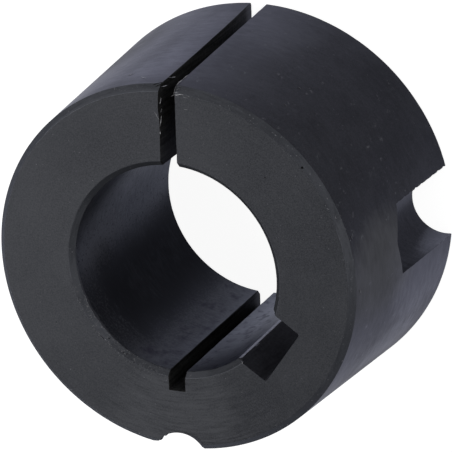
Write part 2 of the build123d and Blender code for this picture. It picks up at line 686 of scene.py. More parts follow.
@dataclass
class JackThread(Cut):
    """The tapped half hole on the taper, right through the bush.

    Args:
        centre: Distance of the hole's centre from the axis.
        crest: Radius of the thread's crests, the drilled size.
        root: Radius of the bottom of the grooves.
        sharp: How far past the bottom the grooves' flanks would meet.
        pitch: Distance from groove to groove.
        half_angle: Angle between a flank and a plane square to the hole, in degrees.
        groove_height: Height of a groove's middle on the side that faces the bush's axis.
        overrun: How far the path runs on past both end faces.
    """

    centre: float = 18.66
    crest: float = 2.59
    root: float = 3.175
    sharp: float = 0.203
    pitch: float = 1.27
    half_angle: float = 27.5
    groove_height: float = 22.56
    overrun: float = 1.2

    def profile(self, offset: np.ndarray) -> np.ndarray:
        """Radius at a distance along Z from a groove's middle: a V, rounded at its bottom."""
        flank = self.root + self.sharp - np.abs(offset) / math.tan(math.radians(self.half_angle))
        rounded = self.root - 3.0 * offset**2
        return np.maximum(np.minimum(flank, rounded), self.crest)

    def draft(self) -> Draft:
        """Winds the profile round the hole: a point's height grows by a pitch in each turn.

        The climb eases to nothing on the side away from the bush, so that the path closes.
        """
        turns = np.radians(np.linspace(0.0, 360.0, 97)[:-1])
        from_inside = turns - math.pi
        ease_from = 2.2
        ease = 1.0 - smooth_step((np.abs(from_inside) - ease_from) / (math.pi - ease_from))
        climb = self.pitch * from_inside / (2 * math.pi) * ease
        half = np.array([0.07, 0.16, 0.28, 0.40, 0.43])
        steps = np.concatenate([[-0.52], -half[::-1], [0.0], half])
        first = self.groove_height - self.pitch * 20
        line = (first + self.pitch * np.arange(24)[:, None] + steps).ravel()
        line = line[(line > -self.overrun) & (line < self.section.length + self.overrun)]
        offset = (line - first + self.pitch / 2) % self.pitch - self.pitch / 2
        radius = self.profile(offset)[:, None]
        z = line[:, None] + climb
        sheet = np.stack([self.centre + radius * np.cos(turns), radius * np.sin(turns), z], axis=-1)
        on_crest = (self.profile(offset) < self.crest + 1e-6)[:-1, None]
        return self.closed(sheet, np.where(on_crest, Finish.DRILLED, Finish.TAPPED))


@dataclass(frozen=True)
class Sliver:
    """A thin spindle along a line: a lip of iron pushed out along an edge, or a scratch's path.

    Args:
        start: Where it starts.
        end: Where it ends.
        reach: From the line to the spindle's far side, at its widest.
        thickness: Its thickness at the line.
    """

    start: Point
    end: Point
    reach: Point
    thickness: float = 0.03

    def moved(self, by: Point) -> "Sliver":
        """The same one, moved."""
        return replace(self, start=tuple(np.add(self.start, by)), end=tuple(np.add(self.end, by)))

    def draft(self, seed: int, slot: int = 0) -> Draft:
        """Carries a flat four-sided ring along the line; its size swells as a sine's arch.

        Args:
            seed: Seed of its ragged far side.
            slot: Material slot of its faces.

        Returns:
            A closed body.
        """
        along = np.linspace(0.0, 1.0, 15)[:, None]
        start, end, reach = (np.array(p) for p in (self.start, self.end, self.reach))
        swell = 0.06 + np.sin(math.pi * along) ** 0.8
        ragged = 1.0 + 0.45 * value_noise(along * 7.0, along * 0.0 + seed, 61)
        root = start + (end - start) * along - reach * 0.25
        side = np.cross(reach, end - start)
        side = side / np.linalg.norm(side) * self.thickness * 0.5 * swell
        tip = root + reach * (0.25 + swell * ragged)
        ring = np.stack([root - side, root + side, tip + side * 0.4, tip - side * 0.4], axis=1)
        made = Draft()
        made.tube(ring, slot, slot)
        return made


@dataclass(frozen=True)
class Band:
    """A stretch of rim that was knocked.

    Args:
        start: Where it starts, in degrees from +X.
        stop: Where it stops.
        radius: Radius of the rim.
        height: Height of the rim.
        slope: Fall of the surface for each step outwards.
        scatter: Spread of the knocks across the rim.
        count: Number of knocks.
        turned: How far they turn from the rim's own direction, at most, in radians.
        longest: Length of the longest one.
    """

    start: float
    stop: float
    radius: float
    height: float
    slope: float
    scatter: float
    count: int
    turned: float = 1.1
    longest: float = 0.18

    def knocks(self, seed: int, ceiling: float) -> list[Sliver]:
        """Small lips scattered along the rim, at random turns.

        Args:
            seed: Seed of their places, turns and sizes.
            ceiling: Height that they stay under.

        Returns:
            The lips.
        """
        random = np.random.default_rng(seed)
        turns = np.radians(random.uniform(self.start, self.stop, self.count))
        radii = self.radius + random.normal(0.0, self.scatter, self.count)
        heights = np.minimum(self.height - self.slope * (radii - self.radius), ceiling)
        lengths = random.uniform(0.06, self.longest, self.count)
        leans = math.pi / 2 + random.uniform(-self.turned, self.turned, self.count)
        lips = []
        for turn, radius, height, length, lean in zip(turns, radii, heights, lengths, leans):
            out = np.array([math.cos(turn), math.sin(turn), -self.slope])
            round_axis = np.array([-math.sin(turn), math.cos(turn), 0.0])
            middle = np.array([radius * math.cos(turn), radius * math.sin(turn), height])
            run = (round_axis * math.sin(lean) + out * math.cos(lean)) * length / 2
            reach = np.cross(run, [0.0, 0.0, 1.0])
            reach = reach / np.linalg.norm(reach) * (0.02 + 0.1 * length)
            lips.append(Sliver(tuple(middle - run), tuple(middle + run), tuple(reach), 0.02))
        return lips


@dataclass
class EdgeBurrs:
    """The burrs that the saw and the broach left at the small end.

    Args:
        section: Section of the sleeve.
        left: Place of the split's wall on -X.
        right: Place of its wall on +X.
        name: Name of the piece.
    """

    section: Section
    left: float = -0.66
    right: float = 0.77
    name: str = "edge_burrs"

    def lips(self) -> list[Sliver]:
        """The burrs along the split's mouth, the one on the keyway's corner, and three on the taper."""
        top = self.section.length
        rim = self.section.outside(top)
        beside_left = [
            Sliver((-0.13, 16.35, -0.60), (-0.15, 15.81, -0.28), (0.035, 0.0, -0.02)),
            Sliver((-0.13, 15.30, -0.60), (-0.12, 15.00, -0.36), (0.05, 0.0, 0.0)),
            Sliver((-0.10, 14.66, -0.45), (-0.09, 13.77, -0.03), (0.035, 0.0, -0.02)),
            Sliver((-0.08, 13.30, 0.0), (-0.08, 13.05, 0.0), (0.03, 0.0, 0.01)),
            Sliver((-0.57, 15.16, 0.0), (-0.14, 14.40, 0.0), (0.012, 0.008, 0.005), 0.014),
            Sliver((-0.10, 17.36, -0.52), (-0.04, 17.12, -1.9), (0.03, -0.02, 0.0)),
            Sliver((-0.02, 17.78, -2.15), (0.02, 17.60, -2.65), (0.05, 0.0, 0.03), 0.05),
            Sliver((0.01, 17.60, -2.65), (0.01, 17.42, -3.6), (0.03, -0.02, 0.0)),
        ]
        beside_right = [
            Sliver((0.0, -0.66, 0.0), (0.92, -0.62, 0.0), (0.0, 0.035, 0.012)),
            Sliver((0.04, -0.76, 0.0), (0.50, -0.74, 0.0), (0.0, 0.03, 0.01), 0.02),
            Sliver((0.04, -0.5, -0.02), (0.46, -0.46, -0.06), (0.0, 0.03, 0.01)),
            Sliver((-0.02, -0.02, -0.52), (-0.04, -0.66, 0.02), (0.03, 0.05, 0.05), 0.05),
            Sliver((0.10, -0.30, -0.22), (0.46, -0.22, -0.28), (0.0, 0.04, 0.03)),
            Sliver((0.16, -0.12, -0.40), (0.5, -0.06, -0.46), (0.0, 0.03, 0.03)),
            Sliver((0.02, 0.02, -0.50), (0.03, 0.14, -1.95), (0.01, 0.06, 0.02), 0.12),
            Sliver((0.03, 0.12, -1.9), (0.03, 0.2, -3.2), (0.01, 0.05, 0.01), 0.09),
        ]
        others = [
            Sliver((0.79, 16.96, -0.02), (0.43, 16.72, -0.1), (0.02, 0.03, -0.02), 0.04),
            Sliver((6.56, -8.22, 0.0), (6.66, -8.10, -0.04), (0.05, -0.05, 0.07), 0.1),
            Sliver((-3.51, 17.49, -2.40), (-2.76, 17.58, -1.85), (-0.03, -0.006, 0.04), 0.03),
            Sliver((-5.28, 17.11, -3.40), (-4.93, 17.25, -3.90), (0.04, 0.01, 0.028), 0.03),
            Sliver((-7.51, 16.22, -2.93), (-7.35, 16.27, -2.85), (-0.03, -0.015, 0.06), 0.03),
        ]
        return [
            *(lip.moved((self.left, 0.0, top)) for lip in beside_left),
            *(lip.moved((self.right, rim, top)) for lip in beside_right),
            *(lip.moved((0.0, 0.0, top)) for lip in others),
        ]

    def strokes(self) -> list[Sliver]:
        """Dull scratches on the taper, its chamfer and the face, and two knocks beside the split."""
        marks = [
            Sliver((-5.15, 16.74, -0.1), (-5.28, 16.95, -0.40), (0.03, 0.01, 0.02)),
            Sliver((-4.98, 16.80, -0.1), (-5.00, 16.90, -0.22), (0.03, 0.01, 0.02)),
            Sliver((9.31, 15.40, -4.89), (9.59, 15.23, -4.91), (0.02, 0.03, 0.0), 0.05),
            Sliver((9.14, 15.82, -8.74), (9.43, 15.65, -8.76), (0.02, 0.03, 0.0), 0.06),
            Sliver((17.04, 5.01, -1.17), (17.14, 4.65, -1.14), (0.03, 0.01, 0.0), 0.08),
            Sliver((17.75, -0.05, -1.20), (17.75, -0.51, -1.40), (0.03, 0.0, 0.0), 0.1),
            Sliver((1.60, 16.80, 0.0), (2.00, 16.76, 0.0), (0.0, 0.035, 0.004), 0.01),
            Sliver((1.70, 15.64, 0.0), (2.02, 15.62, 0.0), (0.0, 0.035, 0.004), 0.01),
            Sliver((13.38, -10.31, 0.0), (13.93, -10.86, -0.55), (0.04, 0.04, 0.02), 0.06),
        ]
        return [mark.moved((0.0, 0.0, self.section.length)) for mark in marks]

    def bands(self) -> list[Band]:
        """The bore's rim beside the relief slot, and the taper's rim above the pocket."""
        section = self.section
        rim = section.outside(section.length)
        mouth = section.bore + section.bore_chamfer
        edge = section.length - section.small_chamfer
        return [
            Band(194.0, 264.0, mouth, section.length, -1.0, 0.2, 90),
            Band(198.0, 228.0, section.bore + 0.03, section.length - 0.46, -1.0, 0.015, 22, 0.1, 0.4),
            Band(276.0, 300.0, mouth, section.length, -1.0, 0.05, 8),
            Band(8.0, 27.0, rim - 0.02, edge + 0.04, 1.0, 0.07, 16),
            Band(60.0, 84.0, rim - 0.5, section.length, 0.0, 0.06, 8),
        ]

    def build(self, bright: bpy.types.Material, dull: bpy.types.Material) -> bpy.types.Object:
        """Joins the burrs into one object of small closed bodies.

        Args:
            bright: Material of the lips.
            dull: Material of the knocks and the strokes.

        Returns:
            The finished object, at the origin.
        """
        worn = self.strokes()
        for number, band in enumerate(self.bands()):
            worn.extend(band.knocks(number, self.section.length))
        made = Draft()
        for slot, lips in enumerate((self.lips(), worn)):
            for number, lip in enumerate(lips):
                made.add(lip.draft(number, slot))
        burrs = made.build(self.name, (bright, dull))
        finish_mesh(burrs, sharp=50.0)
        return burrs


# ---------------------------------------------------------------- shader maths and finishes


class Sock:
    """A shader socket that takes part in Python arithmetic."""

    def __init__(self, book: "NodeBook", socket: Any) -> None:
        """Wraps a socket of a node in a book."""
        self.book = book
        self.socket = socket

    def _with(self, operation: str, *values: Any) -> "Sock":
        """Adds a Math node with the operation."""
        return self.book.node("ShaderNodeMath", {"operation": operation}, dict(enumerate(values)))

    def __add__(self, other: Any) -> "Sock":
        """Sum."""
        return self._with("ADD", self, other)

    def __sub__(self, other: Any) -> "Sock":
        """Difference."""
        return self._with("SUBTRACT", self, other)

    def __rsub__(self, other: Any) -> "Sock":
        """Difference, the other way round."""
        return self._with("SUBTRACT", other, self)

    def __mul__(self, other: Any) -> "Sock":
        """Product."""
        return self._with("MULTIPLY", self, other)

    def __truediv__(self, other: Any) -> "Sock":
        """Quotient."""
        return self._with("DIVIDE", self, other)

    def __rtruediv__(self, other: Any) -> "Sock":
        """Quotient, the other way round."""
        return self._with("DIVIDE", other, self)

    def __pow__(self, power: Any) -> "Sock":
        """Power."""
        return self._with("POWER", self, power)

    def __rpow__(self, base: Any) -> "Sock":
        """Power, the other way round."""
        return self._with("POWER", base, self)

    __radd__ = __add__
    __rmul__ = __mul__

    def at_most(self, other: Any) -> "Sock":
        """The smaller of the two."""
        return self._with("MINIMUM", self, other)

    def at_least(self, other: Any) -> "Sock":
        """The larger of the two."""
        return self._with("MAXIMUM", self, other)

    def beside(self, output: str | int) -> "Sock":
        """Another output of the same node."""
        return Sock(self.book, self.socket.node.outputs[output])

    def between(self, low: float, high: float) -> "Sock":
        """Smooth rise from 0 where the value is low to 1 where it is high."""
        settings = {"interpolation_type": "SMOOTHSTEP"}
        values = {"Value": self, "From Min": low, "From Max": high}
        return self.book.node("ShaderNodeMapRange", settings, values)


class NodeBook:
    """The node tree of one material or world, filled by expressions."""

    def __init__(self, owner: bpy.types.Material | bpy.types.World) -> None:
        """Starts with an empty tree."""
        self.owner = owner
        owner.use_nodes = True
        self.tree = owner.node_tree
        self.tree.nodes.clear()

    def node(
        self,
        kind: str,
        settings: dict[str, Any] | None = None,
        sockets: dict[str | int, Any] | None = None,
        output: str | int = 0,
    ) -> Sock:
        """Adds a node.

        Args:
            kind: The node's type.
            settings: Properties, set before the sockets.
            sockets: Values or links of the inputs, by name or number.
            output: The output wanted.

        Returns:
            The wrapped output.
        """
        made = self.tree.nodes.new(kind)
        for key, value in (settings or {}).items():
            setattr(made, key, value)
        for key, value in (sockets or {}).items():
            if isinstance(value, Sock):
                self.tree.links.new(value.socket, made.inputs[key])
            else:
                made.inputs[key].default_value = value
        return Sock(self, made.outputs[output] if made.outputs else None)

    def place(self) -> "Place":
        """Object coordinates in millimetres."""
        coordinates = self.node("ShaderNodeTexCoord", output="Object")
        sockets = {0: coordinates, "Scale": 1.0 / MM}
        scaled = self.node("ShaderNodeVectorMath", {"operation": "SCALE"}, sockets)
        x = self.node("ShaderNodeSeparateXYZ", sockets={0: scaled})
        y, z = x.beside(1), x.beside(2)
        return Place(x, y, z, (x * x + y * y) ** 0.5)

    def white_seen(self) -> Sock:
        """1 for what the camera sees directly, in reflections or through glass, and 0 for other light."""
        camera = self.node("ShaderNodeLightPath", output="Is Camera Ray")
        return (camera + camera.beside("Is Glossy Ray") + camera.beside("Is Transmission Ray")).at_most(1.0)

    def noise(self, x: Any, y: Any, z: Any, detail: float = 3.0, roughness: float = 0.55) -> Sock:
        """Noise in 0..1 at a point given in noise cells."""
        vector = self.node("ShaderNodeCombineXYZ", sockets={0: x, 1: y, 2: z})
        sockets = {"Vector": vector, "Scale": 1.0, "Detail": detail, "Roughness": roughness}
        return self.node("ShaderNodeTexNoise", sockets=sockets)

    def blend(self, share: Any, low: Any, high: Any) -> Sock:
        """Colour between two others by a share in 0..1."""
        low, high = (value if isinstance(value, Sock) else (*value, 1.0) for value in (low, high))
        return self.node("ShaderNodeMix", {"data_type": "RGBA"}, {0: share, 6: low, 7: high}, output=2)

    def finish(self, height: Sock, sockets: dict[str, Any]) -> bpy.types.Material:
        """Joins one Principled shader to the output.

        Args:
            height: Height of the surface's relief, in millimetres.
            sockets: Values or links of the shader's other inputs.

        Returns:
            The finished material.
        """
        bump = self.node("ShaderNodeBump", sockets={"Strength": 1.0, "Distance": MM, "Height": height})
        shader = self.node("ShaderNodeBsdfPrincipled", sockets={**sockets, "Normal": bump})
        self.node("ShaderNodeOutputMaterial", sockets={"Surface": shader})
        return self.owner


class Place(NamedTuple):
    """Where a shader is on the bush, in millimetres."""

    x: Sock
    y: Sock
    z: Sock
    radius: Sock

    def aim(self, degrees: float) -> Sock:
        """Cosine of the angle between a point's direction from the axis and a direction."""
        angle = math.radians(degrees)
        return (self.x * math.cos(angle) + self.y * math.sin(angle)) / self.radius


class Lay(Enum):
    """Which way the tool's marks run on a machined surface."""

    ROUND_THE_AXIS = "round the axis, stacked along Z"
    ROUND_THE_FACE = "round the axis, stacked along the radius"
    ALONG_Z = "along Z"
    NONE = "no direction"


@dataclass(frozen=True)
class PaintedLightPatch:
    """A stretch of painted light or shade: sheen, highlight or shade put into the metallic share and the
    tone where the light falls.

    Args:
        at: Direction of its middle from +X, in degrees.
        level: Height of its middle, or distance from the axis on a surface turned flat.
        wide: Half its width, in degrees.
        tall: Half its extent along the level.
        share: What it adds to the metallic share at its middle.
        tone: What it adds to the colour's tone at its middle.
        painted_tint: Colour of a painted reflection at its middle, or None for the surface's own.
    """

    at: float
    level: float
    wide: float
    tall: float
    share: float = 0.0
    tone: float = 0.0
    # Colour of a painted reflection at the patch's middle.
    painted_tint: Colour | None = None

    def mask(self, place: Place, level: Sock, ragged: Sock) -> Sock:
        """Ease of 1 less the squares of both distances, each over its half extent."""
        turned = (1.0 - place.aim(self.at)) / (1.0 - math.cos(math.radians(self.wide)))
        off = (level - self.level) / self.tall
        return (1.0 + ragged - turned - off * off).between(0.0, 1.0)


@dataclass(frozen=True)
class PatinaAndPaintedLight:
    """The metallic share round the bush: oxide clouds and marks, plus painted light, a rise towards the lit
    side and patches of painted sheen, highlight and shade.

    Args:
        mean: Metallic share on average.
        swing: How far the share rises towards the lit side, and falls away from it: a painted sheen.
        towards: Direction of the lit side from +X, in degrees.
        tone: How far the colour rises towards the lit side: painted light.
        mottle: How far the tool's marks move the share.
        cloud: How far broad clouds move the share.
        ragged: How far the clouds and the marks move a patch's edge.
        patches: Stretches of painted sheen, highlight or shade.
    """

    mean: float = 0.7
    swing: float = 0.0
    towards: float = 0.0
    tone: float = 0.0
    mottle: float = 0.0
    cloud: float = 0.25
    ragged: float = 0.9
    patches: tuple[PaintedLightPatch, ...] = ()

    def apply(
        self, place: Place, level: Sock, clouds: Sock, marks: Sock, tone: Sock
    ) -> tuple[Sock, Sock, list[tuple[Sock, Colour]]]:
        """Works out the metallic share and the painted tints, and moves the tone by the painted light.

        Args:
            place: Where the shader is.
            level: What the patches' levels are measured along.
            clouds: The broad clouds.
            marks: The tool's marks.
            tone: The colour's tone so far.

        Returns:
            The metallic share and the tone, both in 0..1, and each painted tint's mask and colour.
        """
        share = self.mean + (clouds - 0.5) * self.cloud
        if self.mottle:
            share = share + (marks - 0.5) * self.mottle
        # Painted sheen: the share rises towards the lit side.
        if self.swing:
            share = share + place.aim(self.towards) * self.swing
        # Painted light: the colour rises towards the lit side.
        if self.tone:
            tone = tone + place.aim(self.towards) * self.tone
        ragged = (clouds + marks - 1.0) * self.ragged
        painted_tints = []
        # Patches of painted sheen, highlight and shade.
        for patch in self.patches:
            mask = patch.mask(place, level, ragged)
            share = share + mask * patch.share if patch.share else share
            tone = tone + mask * patch.tone if patch.tone else tone
            if patch.painted_tint:
                painted_tints.append((mask, patch.painted_tint))
        return share.at_least(0.02).at_most(1.0), tone.at_least(0.0).at_most(1.0), painted_tints


@dataclass(frozen=True)
class Specks:
    """Small flecks: bare iron where it was knocked, or dark pits.

    Args:
        share: Share of the noise's range that shows as a fleck.
        size: Size of the noise's cells, in millimetres.
        soft: Width of a fleck's blurred edge in the noise's range.
        colour: Colour of the fleck.
        metal: Metallic share of the fleck.
        shift: Where its noise starts, so that two kinds of fleck differ.
        at: Direction of the side they keep to, from +X in degrees, or None for all round.
        wide: Half the width of that side, in degrees.
    """

    share: float
    size: float
    soft: float
    colour: Colour
    metal: float = 0.8
    shift: float = 7.0
    at: float | None = None
    wide: float = 40.0

    def mask(self, book: NodeBook, place: Place) -> Sock:
        """1 on a fleck and 0 elsewhere."""
        cell = 1.0 / self.size
        spots = book.noise(place.x * cell, place.y * cell + self.shift, place.z * (cell * 0.8), 2.0, 0.7)
        flecks = spots.between(1.0 - self.share, 1.0 - self.share + self.soft)
        if self.at is None:
            return flecks
        edge = math.cos(math.radians(self.wide))
        return flecks * place.aim(self.at).between(edge, (1.0 + edge) / 2)


@dataclass(frozen=True)
class Iron:
    """A machined and darkened iron surface. Its sizes are in millimetres.

    Args:
        dark: Colour in the hollows of the marks.
        pale: Colour on the crests of the marks.
        patina_and_painted_light: How the metallic share and the tone turn round the bush: oxide clouds and
            marks, and painted light and shade.
        rough: Mean roughness.
        lay: Direction of the marks.
        mark_pitch: Pitch of the marks.
        mark_length: Length of the marks.
        mark_height: Height of the marks.
        mark_tone: How far the marks move the colour.
        cloud_tone: How far broad clouds move the colour.
        clouds_per_mm: How many broad clouds there are in a millimetre.
        cloud_rough: How far they move the roughness.
        strong_at: Direction from +X in which the marks show most, or None.
        strong_by: How much stronger the marks are there.
        grain: Size of the fine grain.
        grain_tone: How far the fine grain moves the colour.
        grain_rough: How far the fine grain moves the roughness.
        grain_height: Height of the fine grain.
        specks: Kinds of fleck on it.
        specular: Strength of the reflection of the dark layer.
        edge_tint: Tint of the reflection at a low angle.
    """

    dark: Colour
    pale: Colour
    patina_and_painted_light: PatinaAndPaintedLight
    rough: float = 0.45
    lay: Lay = Lay.NONE
    mark_pitch: float = 0.2
    mark_length: float = 8.0
    mark_height: float = 0.002
    mark_tone: float = 1.2
    cloud_tone: float = 0.8
    clouds_per_mm: float = 0.16
    cloud_rough: float = 0.12
    strong_at: float | None = None
    strong_by: float = 1.6
    grain: float = 0.12
    grain_tone: float = 0.8
    grain_rough: float = 0.14
    grain_height: float = 0.002
    specks: tuple[Specks, ...] = ()
    specular: float = 0.15
    edge_tint: Colour = (0.8, 0.82, 1.0)

    def marks(self, book: NodeBook, place: Place) -> Sock:
        """Noise drawn out along the lay: slow along the marks and quick across them."""
        slow, quick = 1.0 / self.mark_length, 1.0 / self.mark_pitch
        flat = quick if self.lay in (Lay.ALONG_Z, Lay.NONE) else slow
        stacked = place.radius if self.lay is Lay.ROUND_THE_FACE else place.z
        up = slow if self.lay is Lay.ALONG_Z else quick
        return book.noise(place.x * flat, place.y * flat, stacked * up, 4.0, 0.6)

    def material(self, name: str) -> bpy.types.Material:
        """Mixes marks, clouds, grain, patches of painted light and shade, and specks into one material.

        The tone goes from the dark colour to the pale one. It is a half, and what the marks,
        the clouds and the grain are over their means, each times its own strength.

        Args:
            name: The material's name.

        Returns:
            The material.
        """
        book = NodeBook(bpy.data.materials.new(name))
        place = book.place()
        x, y, z, radius = place
        marks = self.marks(book, place)
        broad, fine = self.clouds_per_mm, 1.0 / self.grain
        clouds = book.noise(x * broad + 3.0, y * broad, z * broad)
        grain = book.noise(x * fine, y * fine, z * fine, 2.0, 0.6)
        strength: Sock | float = self.mark_tone
        if self.strong_at is not None:
            strength = self.mark_tone * (0.6 + self.strong_by * place.aim(self.strong_at).between(0.8, 1.0))
        tone = (marks - 0.5) * strength + (clouds - 0.5) * self.cloud_tone
        tone = tone + (grain - 0.5) * self.grain_tone + 0.5
        level = radius if self.lay is Lay.ROUND_THE_FACE else z
        # The metallic share and tone, with the painted light and shade in them.
        metal, tone, painted_tints = self.patina_and_painted_light.apply(place, level, clouds, marks, tone)
        colour = book.blend(tone, self.dark, self.pale)
        # Painted reflection colours from the patches.
        for mask, painted_tint in painted_tints:
            colour = book.blend(mask, colour, painted_tint)
        for specks in self.specks:
            mask = specks.mask(book, place)
            colour = book.blend(mask, colour, specks.colour)
            metal = metal + mask * (specks.metal - metal)
        sockets = {
            "Base Color": colour,
            "Roughness": self.rough + (grain - 0.5) * self.grain_rough + (clouds - 0.5) * self.cloud_rough,
            "Metallic": metal,
            "Specular IOR Level": self.specular,
            "Specular Tint": (*self.edge_tint, 1.0),
        }
        return book.finish(marks * self.mark_height + grain * self.grain_height, sockets)
